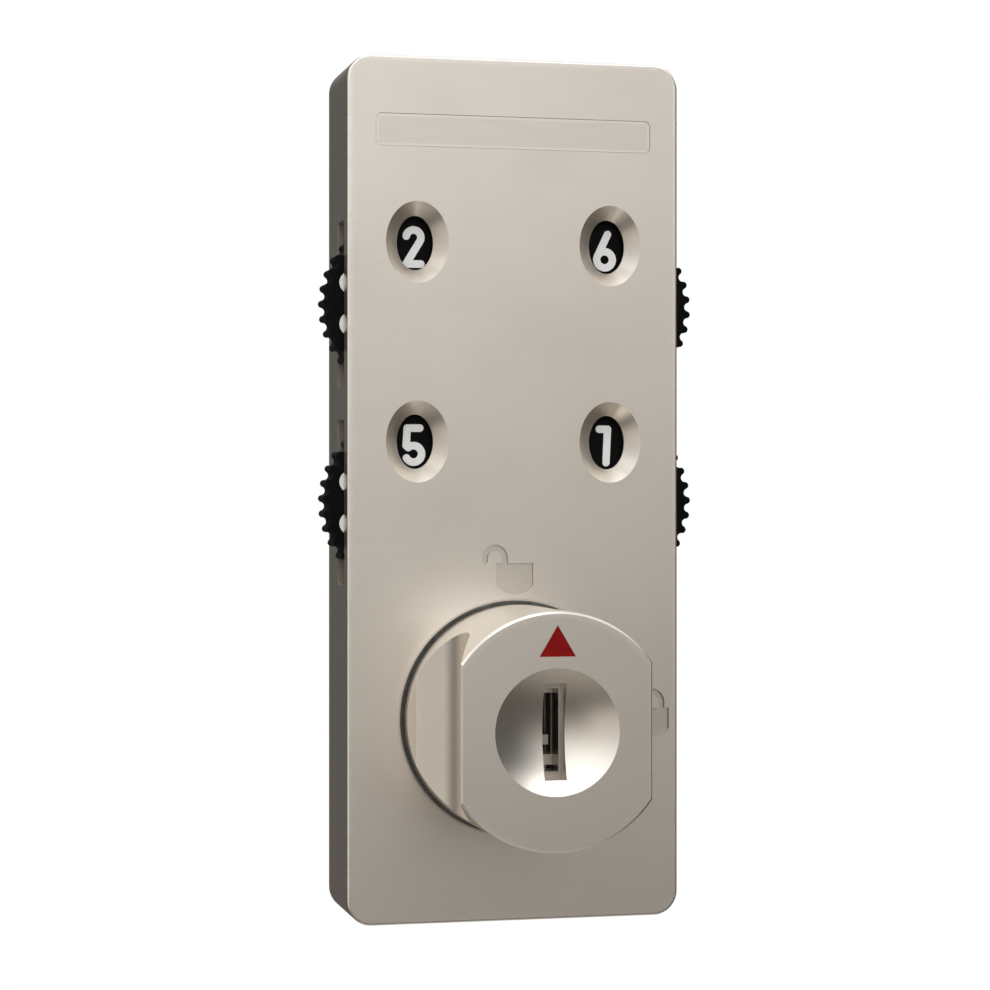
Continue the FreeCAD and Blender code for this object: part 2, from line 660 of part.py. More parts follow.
def back_plate():
    body = new_body("rear_sheet")
    half = f"({CAVITY_HALF} - dim.plate_gap)"
    low = "-dim.knob_height + dim.side_wall + dim.plate_gap"
    high = f"{CASE_TOP} - dim.side_wall - dim.plate_gap"
    outline = rectangle(new_sketch(body, "XZ_Plane"), f"-{half}", half, low, high)
    pad(body, outline, "dim.back_thickness")
    dress(body, "Fillet", "Radius", "dim.cavity_round", runs_along_y)
    solids = [body, disc("spigot", "dim.spigot_radius", "0", "dim.spigot_length")]
    tools = [disc("bush_hole", "dim.bush_radius", "-dim.back_thickness",
                  "dim.back_thickness + dim.spigot_length")]
    for name, z in (("upper", "dim.fixing_upper"), ("lower", "-dim.fixing_lower")):
        start = "-dim.fixing_depth - dim.boss_beyond"
        length = "dim.fixing_depth + dim.boss_beyond"
        solids.append(disc(f"fixing_boss_{name}", "dim.fixing_boss", start, length, "0", z))
        start = "-dim.fixing_depth"
        length = "dim.fixing_depth"
        tools.append(disc(f"fixing_hole_{name}", "dim.fixing_radius", start, length, "0", z))
    for name, row, side in DIALS:
        x, z = dial_place(row, side)
        start = "-dim.back_thickness"
        tools.append(disc(f"rear_seat_{name}", "dim.post_radius", start, "dim.rear_seat", x, z))
        edge = f"{SIDES[side]} * ({CAVITY_HALF} - dim.guide_inset) - dim.guide_width / 2"
        low = (edge, f"{SLIDE_END} + dim.guide_play", f"{z} - dim.guide_length + 1")
        size = ("dim.guide_width", "dim.slide_gap - dim.guide_play", "dim.guide_length")
        solids.append(block(f"guide_{name}", low, size))
    for name, x, z in screw_places():
        deep = "dim.back_thickness"
        tools.append(disc(f"plate_hole_{name}", "dim.screw_radius", f"-{deep}", deep, x, z))
        start = "-dim.screw_head_depth"
        tools.append(disc(f"plate_sink_{name}", "dim.screw_head", start, deep, x, z))
    return node("back_plate", cut("back_plate", fuse("rear_solids", solids), tools))


def cross_head(name, top, depth, x, z, width="dim.cross_width", reach="dim.cross_reach"):
    """The two boxes of a cross recess in a screw head whose face is at y = top."""
    for i, (wide, tall) in enumerate(((width, f"2 * {reach}"), (f"2 * {reach}", width))):
        low = (f"{x} - ({wide}) / 2", f"{top} - {depth}", f"{z} - ({tall}) / 2")
        yield block(f"{name}_cross{i}", low, (wide, depth, tall))


def case_screws():
    for name, x, z in screw_places():
        under = "-dim.screw_head_depth"
        head = disc(f"screw_head_{name}", "dim.screw_head", under, "dim.screw_head_depth", x, z)
        start = f"{under} - dim.screw_length"
        shank = disc(f"screw_shank_{name}", "dim.screw_radius", start, "dim.screw_length", x, z)
        solid = fuse(f"screw_solid_{name}", [head, shank])
        recess = list(cross_head(f"screw_{name}", "0", "dim.cross_width", x, z))
        node(f"case_screw_{name}", cut(f"case_screw_{name}", solid, recess))


# ---------------------------------------------------------------- dials


def tooth_face(phase):
    """The wheel's outline: round tips and round valleys that meet tangentially."""
    count = int(value("tooth_count"))
    tip = value("tooth_round")
    tip_circle = value("wheel_radius") - tip
    root = value("wheel_radius") - value("tooth_depth")
    half = math.pi / count
    # Valley circle of radius v on root + v touches the tip circle: solve for its centre.
    top = tip_circle**2 - (tip - root) ** 2
    valley_circle = top / (2 * (tip_circle * math.cos(half) + tip - root))

    def at(radius, angle):
        return Vector(radius * math.cos(angle), radius * math.sin(angle), 0)

    edges = []
    for i in range(count):
        angle = math.radians(phase) + 2 * half * i
        middle = at(tip_circle, angle)
        before, after = at(valley_circle, angle - half), at(valley_circle, angle + half)
        low = middle + (before - middle).normalize() * tip
        high = middle + (after - middle).normalize() * tip
        edges.append(Part.Arc(low, at(value("wheel_radius"), angle), high))
        following = at(tip_circle, angle + 2 * half)
        start = following + (after - following).normalize() * tip
        edges.append(Part.Arc(high, at(root, angle + half), start))
    return Part.Face(Part.Wire([e.toShape() for e in edges]))


def digit_faces():
    """Ten numerals in the XY plane, each about its own middle, from strokes with round ends."""
    half = value("digit_stroke") / 2
    wide = value("digit_width") / 2 - half
    tall = value("digit_height") / 2 - half
    low_middle = (0, wide * 1.1 - tall)
    bowl = wide * 1.1

    def line(*points):
        return [capsule(a, b, half) for a, b in zip(points, points[1:])]

    tail = line((-bowl * 0.93, low_middle[1] + bowl * 0.35), (wide * 0.42, tall))
    six = joined([round_face(low_middle, bowl + half)] + tail)
    six = six.cut([round_face(low_middle, bowl - half)])
    eight = [((0, tall - wide * 0.95), wide * 0.95), (low_middle, bowl)]
    nine = six.copy()
    nine.rotate(Vector(), Vector(0, 0, 1), 180)
    return [
        joined(
            [bow((0, tall - wide), wide, 0, 180, half), bow((0, wide - tall), wide, 180, 360, half)]
            + line((-wide, wide - tall), (-wide, tall - wide))
            + line((wide, wide - tall), (wide, tall - wide))
        ),
        joined(line((wide * -0.75, tall), (wide * 0.42, tall), (wide * 0.2, -tall))),
        joined(
            [bow((0, tall - wide), wide, -35, 170, half)]
            + line((wide * 0.82, tall - wide * 1.57), (-wide, -tall), (wide, -tall))
        ),
        joined(
            [bow((0, tall - wide * 0.98), wide * 0.98, -70, 150, half)]
            + [bow(low_middle, bowl, -150, 85, half)]
            + line((wide * -0.15, tall - wide * 1.96), (wide * 0.25, tall - wide * 1.96))
        ),
        joined(line((wide * 0.6, -tall), (wide * 0.6, tall), (-wide, -tall * 0.35))
               + line((-wide, -tall * 0.35), (wide, -tall * 0.35))),
        joined(
            line((wide * 0.85, tall), (wide * -0.85, tall), (-wide, low_middle[1] + bowl * 1.0))
            + [bow(low_middle, bowl, -150, 130, half)]
            + line((-wide, low_middle[1] + bowl), (-bowl * 0.64, low_middle[1] + bowl * 0.766))
        ),
        six,
        joined(line((-wide, tall), (wide, tall), (wide * -0.3, -tall))),
        joined([round_face(loop, radius + half) for loop, radius in eight])
        .cut([round_face(loop, radius - half) for loop, radius in eight]),
        nine,
    ]


def numeral_solids(faces, shown):
    """All ten numerals round a dial, the shown one at the top, rising clockwise."""
    deep = value("digit_inlay") + value("digit_proud")
    solids = []
    for step in range(DIGITS):
        solid = faces[(shown + step) % DIGITS].extrude(Vector(0, 0, deep))
        solid.translate(Vector(0, value("digit_circle"), -value("digit_inlay")))
        solid.rotate(Vector(), Vector(0, 0, 1), -DIGIT_STEP * step)
        solids.append(solid)
    return Part.makeCompound(solids)


def dials():
    faces = digit_faces()
    for name, row, side in DIALS:
        x, z = dial_place(row, side)
        outline = doc.addObject("Part::Feature", f"teeth_{name}")
        outward = 180 if side == "left" else 0
        outline.Shape = tooth_face(outward + TOOTH_PHASE[name])
        outline.Placement = Placement(Vector(), FORWARDS)
        put(outline, x, WHEEL, z)
        blank = doc.addObject("Part::Extrusion", f"blank_{name}")
        blank.Base = outline
        blank.DirMode = "Custom"
        blank.Dir = Vector(0, 1, 0)
        blank.Solid = True
        bind(blank, LengthFwd="dim.wheel_thickness")
        numerals = doc.addObject("Part::Feature", f"numerals_{name}")
        numerals.Shape = numeral_solids(faces, SHOWN[name])
        numerals.Placement = Placement(Vector(), FORWARDS)
        put(numerals, x, WHEEL, z)
        bore = "dim.post_radius + dim.post_play"
        tools = [numerals, disc(f"bore_{name}", bore, WHEEL, "dim.wheel_thickness", x, z)]
        deep = "(dim.boss_depth + dim.boss_floor)"
        recess = ten_sided(f"recess_{name}", "dim.boss_radius + dim.boss_play",
                           f"{RING} - {deep}", deep, x, z)
        tools.append(recess)
        node(f"dial_wheel_{name}", cut(f"dial_wheel_{name}", blank, tools))
        node(f"numerals_{name}", numerals)
        code_ring(name, x, z, bore, SIDES[side])
        clutch_spring(name, x, z)
        post_and_clip(name, x, z)
        dial_detent(name, row, side)


def ten_sided(name, radius, start, length, x, z):
    item = doc.addObject("Part::Prism", name)
    item.Polygon = DIGITS
    item.Placement = Placement(Vector(), BACKWARDS)
    return put(bind(item, Circumradius=radius, Height=length), x, start, z)


def code_ring(name, x, z, bore, sign):
    """Web towards the wheel, open behind, one gate below and ten detent notches round it."""
    solid = fuse(f"ring_solid_{name}", [
        disc(f"ring_disc_{name}", "dim.ring_radius", RING, "dim.ring_depth", x, z),
        ten_sided(f"ring_boss_{name}", "dim.boss_radius", f"{RING} - dim.boss_depth",
                  "dim.boss_depth + dim.ring_web / 2", x, z),
    ])
    web_end = f"({RING} + dim.ring_web)"
    deep = "dim.ring_depth - dim.ring_web"
    gate = (f"{x} - dim.gate_width / 2", web_end, f"{z} - dim.ring_radius - 1")
    tools = [
        disc(f"ring_inside_{name}", "dim.ring_hollow", web_end, deep, x, z),
        disc(f"ring_bore_{name}", bore, f"{RING} - dim.boss_depth",
             "dim.boss_depth + dim.ring_depth", x, z),
        block(f"gate_{name}", gate, ("dim.gate_width", deep, "dim.ring_radius")),
    ]
    for i in range(DIGITS):
        # The notches are counted from the one that faces the spring between the dials.
        turn = math.radians(DIGIT_STEP * i)
        along = f"{x} - {sign} * dim.nose_circle * {math.cos(turn):.9f}"
        up = f"{z} + dim.nose_circle * {math.sin(turn):.9f}"
        notch = "dim.nose_radius + dim.nose_gap"
        tools.append(disc(f"notch{i}_{name}", notch, RING, "dim.ring_depth", along, up))
    node(f"code_ring_{name}", cut(f"code_ring_{name}", solid, tools))


def clutch_spring(name, x, z):
    """A coned spring washer that presses the code ring into its wheel."""
    near = f"({RING} + dim.ring_web)"
    far = f"({CLIP} - dim.washer_gap)"
    inner, outer = "(dim.post_radius + dim.washer_play)", "dim.clip_radius"
    profile = [
        (inner, f"{far} - dim.leaf"),
        (outer, near),
        (outer, f"{near} + dim.leaf"),
        (inner, far),
    ]
    node(f"clutch_spring_{name}", turned(f"clutch_spring_{name}", profile, x, z))


def post_and_clip(name, x, z):
    start, end = f"({WALL} - dim.post_seat)", "(dim.rear_seat - dim.back_thickness)"
    radius, groove = "dim.post_radius", "dim.clip_groove"
    clip_end = f"({CLIP} + dim.clip_thickness)"
    profile = [
        ("0", start), (radius, start), (radius, CLIP), (groove, CLIP),
        (groove, clip_end), (radius, clip_end), (radius, end), ("0", end),
    ]
    node(f"dial_post_{name}", turned(f"dial_post_{name}", profile, x, z))
    ring = disc(f"clip_disc_{name}", "dim.clip_radius", CLIP, "dim.clip_thickness", x, z)
    mouth = ("dim.clip_mouth", "dim.clip_thickness", "dim.clip_radius")
    tools = [
        disc(f"clip_hole_{name}", groove, CLIP, "dim.clip_thickness", x, z),
        block(f"clip_mouth_{name}", (f"{x} - dim.clip_mouth / 2", CLIP, z), mouth),
    ]
    node(f"post_clip_{name}", cut(f"post_clip_{name}", ring, tools))


def dial_detent(name, row, side):
    """A leaf on the anchor between the dials, with a nose in one of the ring's notches."""
    sign = SIDES[side]
    x, z = dial_place(row, side)
    left = f"{sign} * {detent_wall()}" + (" - dim.leaf" if sign < 0 else "")
    y = f"({RING} + dim.ring_web + dim.leaf_gap)"
    if row == "upper":
        start = f"{ANCHOR_Z} + dim.leaf_apart"
        length = f"{z} + dim.leaf_beyond - {ANCHOR_Z} - dim.leaf_apart"
    else:
        start = f"{z} - dim.leaf_beyond"
        length = f"{ANCHOR_Z} - {z} + dim.leaf_beyond - dim.leaf_apart"
    size = ("dim.leaf", "dim.leaf_width", length)
    strip = block(f"leaf_{name}", (left, y, start), size)
    nose_x = f"{x} - {sign} * dim.nose_circle"
    nose = disc(f"nose_{name}", "dim.nose_radius", y, "dim.leaf_width", nose_x, z)
    behind = "0" if sign > 0 else "2 * dim.nose_radius"
    low = (f"{nose_x} - {behind} - {sign} * dim.leaf / 3", y, f"{z} - dim.nose_radius")
    size = ("2 * dim.nose_radius", "dim.leaf_width", "2 * dim.nose_radius")
    kept = doc.addObject("Part::Common", f"nose_kept_{name}")
    kept.Base, kept.Tool = nose, block(f"nose_half_{name}", low, size)
    node(f"dial_detent_{name}", fuse(f"dial_detent_{name}", [strip, kept]))


# ---------------------------------------------------------------- lock slide


def lock_slide():
    body = new_body("slide_sheet")
    half = f"({CAVITY_HALF} - dim.slide_play)"
    window_half = f"{LOBE_SHIFT} * 2 ^ 0.5 + dim.lobe_radius + dim.lobe_end_play"
    low = f"({LOBE_SHIFT} - dim.lobe_radius - dim.lobe_gap)"
    high = f"({LOBE_SHIFT} + dim.lobe_radius + dim.lobe_gap)"
    top = f"({ROWS['upper']} + dim.slide_above)"
    outline = rectangle(
        new_sketch(body, "XZ_Plane", f"-{SLIDE_END}"), f"-{half}", half,
        f"{low} - dim.slide_below", top,
    )
    pad(body, outline, "dim.slide_thickness")
    dress(body, "Fillet", "Radius", "dim.cavity_round", runs_along_y)
    opening = rectangle(
        new_sketch(body, "XZ_Plane", f"-{SLIDE_END}"),
        f"-({window_half})", window_half, low, high,
    )
    pocket(body, opening, through=True)
    tools = []
    for name, row, side in DIALS:
        x, z = dial_place(row, side)
        slot = "(dim.post_radius + dim.slot_play)"
        tools.append(disc(f"run_low_{name}", slot, SLIDE, "dim.slide_thickness", x, z))
        above = f"{z} + dim.slide_travel"
        tools.append(disc(f"run_high_{name}", slot, SLIDE, "dim.slide_thickness", x, above))
        low = (f"{x} - {slot}", SLIDE, z)
        size = (f"2 * {slot}", "dim.slide_thickness", "dim.slide_travel")
        tools.append(block(f"run_{name}", low, size))
        pin_z = f"{z} - dim.pin_offset"
        tools.append(disc(f"pin_hole_{name}", "dim.pin_radius", SLIDE, "dim.slide_thickness",
                          x, pin_z))
        start = f"({RING} + dim.ring_web + dim.pin_gap)"
        node(f"fence_pin_{name}", disc(f"fence_pin_{name}", "dim.pin_radius", start,
                                       f"{SLIDE_END} - {start}", x, pin_z))
    # The long opening that lightens the slide between the two pairs of dials.
    low = ("-dim.opening_half", SLIDE, "dim.lower_dial_height")
    size = ("2 * dim.opening_half", "dim.slide_thickness", "dim.dial_rise")
    tools.append(block("slide_opening", low, size))
    node("lock_slide", cut("lock_slide", body, tools))


# ---------------------------------------------------------------- knob


def knob_grip():
    body = new_body("grip")
    outline = new_sketch(body, "XZ_Plane", f"-{HUB}")
    outline.addGeometry(Part.Circle(Vector(), Vector(0, 0, 1), value("knob_radius")))
    hold(outline, "DistanceX", (0, 3), 0, "0")
    hold(outline, "DistanceY", (0, 3), 0, "0")
    index = outline.addConstraint(Sketcher.Constraint("Radius", 0, value("knob_radius")))
    outline.setExpression(f"Constraints[{index}]", "dim.knob_radius")
    pad(body, outline, f"{HUB} - {KNOB}")
    scoop = new_sketch(body, "XY_Plane")
    rim = f"({FACE} - dim.rim_height)"
    corner = f"({FACE} - dim.corner_height)"
    for sign in (1, -1):
        outside = f"{sign} * (dim.knob_radius + 1)"
        polygon(scoop, [
            (outside, rim),
            (f"{sign} * dim.foot_half", rim),
            (f"{sign} * dim.corner_half", corner),
            (f"{sign} * dim.grip_half", KNOB),
            (f"{sign} * dim.grip_half", f"{KNOB} - 1"),
            (outside, f"{KNOB} - 1"),
        ])
    pocket(body, scoop, through=True)
    waist = -value("case_depth") - value("corner_height")
    dress(body, "Fillet", "Radius", "dim.waist_round",
          lambda e: at_y(e, waist) and abs(e.Vertexes[0].Z - e.Vertexes[-1].Z) > 5)
    front = -value("case_depth") - value("knob_reach")
    dress(body, "Chamfer", "Size", "dim.knob_chamfer", lambda e: at_y(e, front))

    ball = doc.addObject("Part::Sphere", "dish")
    dish = "((dim.dish_radius ^ 2 + dim.dish_depth ^ 2) / (2 * dim.dish_depth))"
    put(bind(ball, Radius=dish), "0", f"{KNOB} + dim.dish_depth - {dish}", "0")
    low = ("-dim.key_slot_width / 2", KNOB, "-dim.key_slot_height / 2")
    deep = "dim.dish_depth + dim.plug_cover + dim.overlap / 5"
    size = ("dim.key_slot_width", deep, "dim.key_slot_height")
    bore = "dim.plug_radius + dim.plug_play"
    tools = [
        ball,
        block("key_slot", low, size),
        disc("plug_bore", bore, f"{PLUG} - dim.plug_play", f"{HUB} - {PLUG} + dim.plug_play"),
        block("wafer_groove", ("-dim.wafer_half - dim.groove_play", f"{PLUG} + 1", "0"),
              ("2 * (dim.wafer_half + dim.groove_play)", f"{HUB} - {PLUG} - 1",
               f"{WAFER_TOP} + dim.groove_above")),
        sunk_pointer("pointer_recess", "0"),
    ]
    for name, sign in ROW_SIGNS.items():
        deep = "(dim.grip_screw_length + dim.overlap)"
        z = f"{sign} * dim.grip_screw_place"
        tools.append(disc(f"grip_hole_{name}", "dim.grip_screw", f"{HUB} - {deep}", deep, "0", z))
    node("knob_grip", cut("knob_grip", body, tools))
    node("pointer_fill", sunk_pointer("pointer", "dim.fill_below"))


def sunk_pointer(name, below):
    """The triangular mark in the knob's front, or its filling when below is more than 0."""
    body = new_body(name + "_body")
    sketch = new_sketch(body, "XZ_Plane", f"-({KNOB} + dim.mark_depth)")
    polygon(sketch, [("-dim.pointer_half", "dim.pointer_base"),
                     ("dim.pointer_half", "dim.pointer_base"), ("0", "dim.pointer_top")])
    pad(body, sketch, f"dim.mark_depth - {below}")
    return body


def key_plug():
    length = f"{HUB} - {PLUG}"
    solid = disc("plug_solid", "dim.plug_radius", PLUG, length)
    low = ("-dim.keyway_width / 2", PLUG, "-dim.keyway_height / 2")
    size = ("dim.keyway_width", f"{length} - dim.keyway_floor", "dim.keyway_height")
    tools = [block("keyway", low, size)]
    gap = "dim.wafer_play"
    for i in range(WAFERS):
        y = f"({PLUG} + dim.wafer_first + {i} * dim.wafer_pitch - dim.wafer_thickness / 2)"
        low = (f"-dim.wafer_half - {gap}", f"{y} - {gap}", f"-{WAFER_FLOOR}")
        size = (f"2 * (dim.wafer_half + {gap})", f"dim.wafer_thickness + 2 * {gap}",
                f"{WAFER_FLOOR} + dim.plug_radius + 1")
        tools.append(block(f"wafer_slot{i}", low, size))
        wafer(i + 1, y)
    plug = cut("plug_cut", solid, tools)
    # A ward on the left of the keyway, in front of the first wafer.
    low = ("-dim.keyway_width / 2 - dim.ward_root", PLUG, "-dim.ward_low")
    ward = block("ward", low, ("dim.ward_width", "dim.ward_depth", "dim.ward_height"))
    node("key_plug", fuse("key_plug", [plug, ward]))


def wafer(number_of, y):
    """A sprung wafer with a window for the key; its top locks the plug to the knob."""
    low = ("-dim.wafer_half", y, f"-{WAFER_FOOT}")
    height = f"({WAFER_FOOT} + {WAFER_TOP})"
    size = ("2 * dim.wafer_half", "dim.wafer_thickness", height)
    sheet_metal = block(f"wafer_sheet{number_of}", low, size)
    low = ("-dim.keyway_width / 2 - dim.window_play", y, f"dim.window_foot - {WAFER_FOOT}")
    size = ("dim.keyway_width + 2 * dim.window_play", "dim.wafer_thickness",
            f"{height} - dim.window_foot - dim.window_head + {number_of} * dim.key_step")
    opening = block(f"wafer_window{number_of}", low, size)
    node(f"wafer_{number_of}", cut(f"wafer_{number_of}", sheet_metal, [opening]))
    # The small coil under the wafer.
    helix = doc.addObject("Part::Helix", f"coil_line{number_of}")
    bind(helix, Height=f"{WAFER_FLOOR} - {WAFER_FOOT} - 2 * dim.coil_gap",
         Pitch="dim.coil_pitch", Radius="dim.coil_radius")
    ring = doc.addObject("Part::Circle", f"coil_wire{number_of}")
    ring.Placement = Placement(Vector(), FORWARDS)
    put(bind(ring, Radius="dim.coil_wire"), "dim.coil_radius", "0", "0")
    sweep = doc.addObject("Part::Sweep", f"wafer_spring_{number_of}")
    sweep.Sections = [ring]
    sweep.Spine = (helix, ["Edge1"])
    sweep.Solid = True
    sweep.Frenet = True
    put(sweep, "0", f"{y} + dim.wafer_thickness / 2", f"dim.coil_gap - {WAFER_FLOOR}")
    node(f"wafer_spring_{number_of}", sweep)


def drive_hub():
    lobe_start = f"({SLIDE} - dim.lobe_margin)"
    lobe_length = "dim.slide_thickness + 2 * dim.lobe_margin"
    lobe_end = f"({SLIDE_END} + dim.lobe_margin)"
    solid = fuse("hub_solid", [
        disc("hub_flange", "dim.hub_radius", HUB, "dim.hub_thickness"),
        disc("hub_neck", "dim.neck_radius", HUB_END, f"{lobe_start} - {HUB_END}"),
        disc("hub_lobe", "dim.lobe_radius", lobe_start, lobe_length, LOBE_SHIFT, LOBE_SHIFT),
        sector("hub_lug", "dim.lug_radius", HUB, "dim.lug_depth", LUG_ANGLE, LUG_SPREAD),
    ])
    spindle_start = f"({lobe_end} - dim.spindle_in_hub)"
    tools = [disc("hub_bore", "dim.spindle_radius", spindle_start, "dim.spindle_in_hub")]
    notch = "dim.nose_radius + dim.nose_gap"
    for name, x, z in (("unlocked", "0", "-1"), ("locked", "1", "0")):
        tools.append(disc(f"hub_notch_{name}", notch, HUB, "dim.hub_thickness",
                          f"{x} * {knob_nose()}", f"{z} * {knob_nose()}"))
    for name, sign in ROW_SIGNS.items():
        z = f"{sign} * dim.grip_screw_place"
        shank, head, deep = "dim.grip_screw", "dim.grip_screw_head", "dim.grip_screw_head_depth"
        tools.append(disc(f"hub_hole_{name}", shank, HUB, "dim.hub_thickness", "0", z))
        screw = fuse(f"hub_screw_solid_{name}", [
            disc(f"hub_screw_head_{name}", head, HUB_END, deep, "0", z),
            disc(f"hub_screw_shank_{name}", shank, f"{HUB} - dim.grip_screw_length",
                 "dim.hub_thickness + dim.grip_screw_length", "0", z),
        ])
        recess = list(cross_head(f"hub_screw_{name}", f"({HUB_END} + {deep})",
                                 "dim.hub_cross_depth", "0", z,
                                 "dim.hub_cross_width", "dim.hub_cross_reach"))
        node(f"hub_screw_{name}", cut(f"hub_screw_{name}", screw, recess))
    node("drive_hub", cut("drive_hub", solid, tools))
    spindle_and_cam(spindle_start)


def knob_nose():
    """Distance from the knob's axis to the middle of its detent nose."""
    return "(dim.hub_radius + dim.nose_radius - dim.notch_depth)"


def knob_leaf_low():
    return f"(-{knob_nose()} - dim.nose_radius)"


def knob_detent():
    y = f"({HUB} + dim.leaf_setback)"
    low = ("-dim.leaf_half", y, knob_leaf_low())
    strip = block("knob_leaf", low, ("2 * dim.leaf_half", "dim.leaf_width", "dim.leaf"))
    nose = disc("knob_nose", "dim.nose_radius", y, "dim.leaf_width", "0", f"-{knob_nose()}")
    node("knob_detent", fuse("knob_detent", [strip, nose]))


def spindle_and_cam(start):
    shoulder = "dim.cam_setback"
    end = "(dim.cam_setback + dim.cam_thickness)"
    round_part = disc("spindle_round", "dim.spindle_radius", start, f"{shoulder} - {start}")
    deep = "dim.thread_depth"
    hole = disc("spindle_thread", "dim.thread_radius", f"{end} - {deep}", deep)
    square = square_end("spindle", f"{end} - {shoulder} - dim.cam_step")
    solid = fuse("spindle_solid", [round_part, square])
    node("drive_spindle", cut("drive_spindle", solid, [hole]))

    body = new_body("cam_bar")
    half = "dim.cam_half"
    outline = rectangle(new_sketch(body, "XZ_Plane", f"-{end}"), f"-{half}", half,
                        "0", "dim.cam_length")
    pad(body, outline, "dim.cam_thickness")
    solid = fuse("cam_solid", [
        body,
        disc("cam_hub", half, shoulder, "dim.cam_thickness"),
        disc("cam_tip", half, shoulder, "dim.cam_thickness", "0", "dim.cam_length"),
    ])
    node("cam", cut("cam", solid, [square_end("cam_hole", "dim.cam_thickness")]))

    thick = "dim.washer_thickness"
    washer = disc("washer_disc", "dim.washer_radius", end, thick)
    hole = disc("washer_hole", "dim.thread_radius", end, thick)
    node("cam_washer", cut("cam_washer", washer, [hole]))
    head_start = f"({end} + {thick})"
    head = disc("cam_screw_head", "dim.cam_screw_head", head_start, "dim.cam_screw_head_depth")
    shank = disc("cam_screw_shank", "dim.thread_radius", f"{head_start} - dim.cam_screw_length",
                 "dim.cam_screw_length")
    socket = doc.addObject("Part::Prism", "cam_screw_socket")
    socket.Polygon = 6
    socket.Placement = Placement(Vector(), BACKWARDS)
    bind(socket, Circumradius="dim.socket_radius", Height="dim.socket_depth")
    put(socket, "0", f"{head_start} + dim.cam_screw_head_depth - dim.socket_depth", "0")
    node("cam_screw", cut("cam_screw", fuse("cam_screw_solid", [head, shank]), [socket]))


def square_end(name, length):
    """A square with its corners rounded off by the spindle's own radius."""
    side = "dim.spindle_square"
    low = (f"-{side} / 2", "dim.cam_setback", f"-{side} / 2")
    item = doc.addObject("Part::Common", f"{name}_square_end")
    item.Base = block(f"{name}_square", low, (side, length, side))
    item.Tool = disc(f"{name}_limit", "dim.spindle_radius", "dim.cam_setback", length)
    return item


def spindle_bush():
    length = "dim.back_thickness + dim.spigot_length"
    ring = disc("bush_ring", "dim.bush_radius", "-dim.back_thickness", length)
    bore = disc("bush_bore", "dim.spindle_radius + dim.bush_play", "-dim.back_thickness", length)
    node("spindle_bush", cut("spindle_bush", ring, [bore]))


front_case()
name_plate()
back_plate()
case_screws()
dials()
lock_slide()
knob_grip()
key_plug()
drive_hub()
knob_detent()
spindle_bush()
doc.removeObject("probe")
doc.recompute()

# ---------------------------------------------------------------- check and write

for item in doc.Objects:
    if {"Invalid", "Error"} & set(item.State):
        raise ValueError(f"{item.Name}: {item.State}")
for name, item in nodes.items():
    shape = item.Shape
    if shape.isNull() or not shape.isValid() or not shape.Solids or shape.Volume <= 0:
        raise ValueError(f"{name} has no valid solid")

os.makedirs("parts", exist_ok=True)
for name, item in nodes.items():
    item.Shape.exportStep(f"parts/{name}.step")
print(len(nodes), "sub-parts")
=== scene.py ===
import math

import bmesh
import bpy
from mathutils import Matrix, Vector


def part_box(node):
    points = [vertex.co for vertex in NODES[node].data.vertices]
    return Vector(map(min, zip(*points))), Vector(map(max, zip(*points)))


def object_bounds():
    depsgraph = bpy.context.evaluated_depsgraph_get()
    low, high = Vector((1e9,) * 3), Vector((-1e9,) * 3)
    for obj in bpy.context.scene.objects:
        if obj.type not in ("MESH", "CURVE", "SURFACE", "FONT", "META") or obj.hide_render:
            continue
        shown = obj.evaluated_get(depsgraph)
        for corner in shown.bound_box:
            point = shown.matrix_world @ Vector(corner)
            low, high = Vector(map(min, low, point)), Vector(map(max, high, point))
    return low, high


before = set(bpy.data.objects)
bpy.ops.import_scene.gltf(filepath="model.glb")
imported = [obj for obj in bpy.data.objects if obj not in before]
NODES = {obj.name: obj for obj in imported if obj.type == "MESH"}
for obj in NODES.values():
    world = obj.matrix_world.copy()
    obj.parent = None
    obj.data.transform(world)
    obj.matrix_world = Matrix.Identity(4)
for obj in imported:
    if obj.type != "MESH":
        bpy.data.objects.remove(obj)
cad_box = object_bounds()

# Looks for a four-dial locker lock. Metres, in the part's own frame: origin on the knob's axis
# at the door face, +X to the right seen from the front, +Y into the door, +Z up.

MM = 0.001


# ---------------------------------------------------------------- shader maths


class Signal:
    """A socket of a node tree that Python's operators work on."""

    def __init__(self, finish, socket):
        self.finish = finish
        self.socket = socket

    def maths(self, operation, first, second=0.0):
        return self.finish.node("ShaderNodeMath", {"operation": operation}, {0: first, 1: second})

    def __add__(self, other):
        return self.maths("ADD", self, other)

    def __sub__(self, other):
        return self.maths("SUBTRACT", self, other)

    def __rsub__(self, other):
        return self.maths("SUBTRACT", other, self)

    def __mul__(self, other):
        return self.maths("MULTIPLY", self, other)

    def __truediv__(self, other):
        return self.maths("DIVIDE", self, other)

    def __pow__(self, other):
        return self.maths("POWER", self, other)

    def __abs__(self):
        return self.maths("ABSOLUTE", self)

    __radd__ = __add__
    __rmul__ = __mul__


